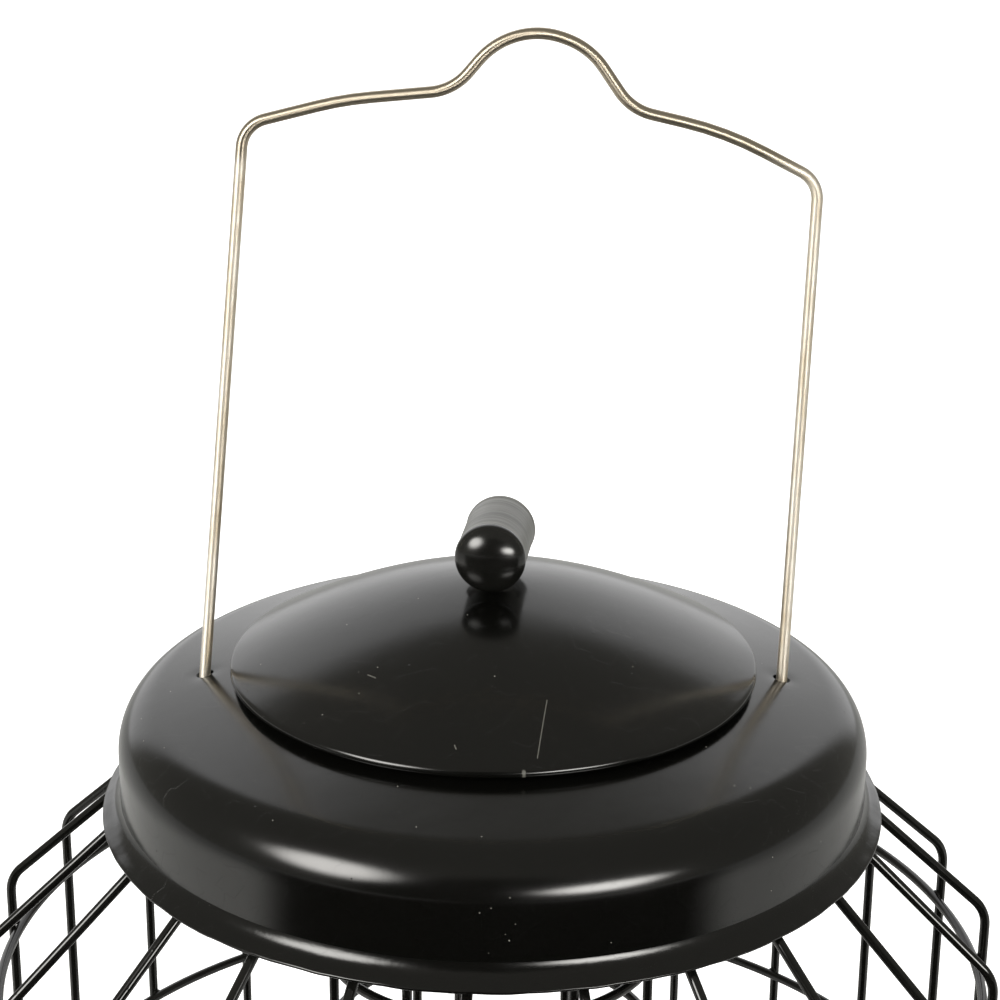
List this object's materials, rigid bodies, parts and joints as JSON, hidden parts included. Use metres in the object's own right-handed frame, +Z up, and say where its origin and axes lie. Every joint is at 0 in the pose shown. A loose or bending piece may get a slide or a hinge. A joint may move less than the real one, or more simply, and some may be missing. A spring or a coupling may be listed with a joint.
{
  "type": "caged tube bird feeder",
  "caption": "Hanging bird feeder: open wire tube inside a round guard cage of bent uprights, pressed roof with lift-off lid and turning T handle, dish tray and wire bail.",
  "frame": {"origin": "middle of the tray's flat underside, which is the lowest face", "axes": "+Z up along the feeder's axis, +X to the right and -Y towards the viewer in the picture, so the bail's plane is XZ"},
  "size_m": [0.2241, 0.2244, 0.4101],
  "materials": {
    "roof_enamel": "pressed steel sheet, gloss black baked enamel",
    "tray_enamel": "pressed steel sheet, gloss black baked enamel",
    "lid_enamel": "pressed steel sheet, gloss black baked enamel",
    "cage_wire": "drawn steel wire, welded and dipped in gloss black",
    "tube_wire": "drawn steel wire, welded and dipped in gloss black",
    "bail_stainless": "bright drawn stainless wire",
    "zinc_steel": "zinc plated steel",
    "handle_gloss": "moulded, high gloss black",
    "seal_rubber": "black rubber washer"
  },
  "bodies": {
    "frame": {"tray": "tray_enamel", "roof": "roof_enamel", "fill_collar": "roof_enamel", "cage_upright_01": "cage_wire", "cage_upright_02": "cage_wire", "cage_upright_03": "cage_wire", "cage_upright_04": "cage_wire", "cage_upright_05": "cage_wire", "cage_upright_06": "cage_wire", "cage_upright_07": "cage_wire", "cage_upright_08": "cage_wire", "cage_upright_09": "cage_wire", "cage_upright_10": "cage_wire", "cage_upright_11": "cage_wire", "cage_upright_12": "cage_wire", "cage_upright_13": "cage_wire", "cage_upright_14": "cage_wire", "cage_upright_15": "cage_wire", "cage_upright_16": "cage_wire", "cage_upright_17": "cage_wire", "cage_upright_18": "cage_wire", "cage_upright_19": "cage_wire", "cage_upright_20": "cage_wire", "cage_upright_21": "cage_wire", "cage_upright_22": "cage_wire", "cage_upright_23": "cage_wire", "cage_hoop_1": "cage_wire", "cage_hoop_2": "cage_wire", "cage_hoop_3": "cage_wire", "cage_hoop_4": "cage_wire", "cage_neck_ring": "cage_wire", "cage_foot_ring": "cage_wire", "tube_upright_1": "tube_wire", "tube_upright_2": "tube_wire", "tube_upright_3": "tube_wire", "tube_upright_4": "tube_wire", "tube_upright_5": "tube_wire", "tube_upright_6": "tube_wire", "tube_hoop_01": "tube_wire", "tube_hoop_02": "tube_wire", "tube_hoop_03": "tube_wire", "tube_hoop_04": "tube_wire", "tube_hoop_05": "tube_wire", "tube_hoop_06": "tube_wire", "tube_hoop_07": "tube_wire", "tube_hoop_08": "tube_wire", "tube_hoop_09": "tube_wire", "tube_hoop_10": "tube_wire"},
    "lid": {"lid": "lid_enamel", "lid_seal": "seal_rubber"},
    "handle": {"handle": "handle_gloss", "stem": "zinc_steel", "stem_spacer": "zinc_steel", "lock_bar": "zinc_steel", "stem_nut": "zinc_steel"},
    "bail": {"bail": "bail_stainless"}
  },
  "joints": [
    {"name": "lid_lift", "type": "slide", "parent": "frame", "child": "lid", "axis": [0, 0, 1], "range_m": [0, 0.03]},
    {"name": "handle_turn", "type": "hinge", "parent": "lid", "child": "handle", "pos_m": [0, 0, 0.288], "axis": [0, 0, 1], "range_deg": [0, 90]},
    {"name": "bail_swing", "type": "hinge", "parent": "frame", "child": "bail", "pos_m": [0, 0, 0.26971], "axis": [1, 0, 0], "range_deg": [-30, 30]}
  ]
}
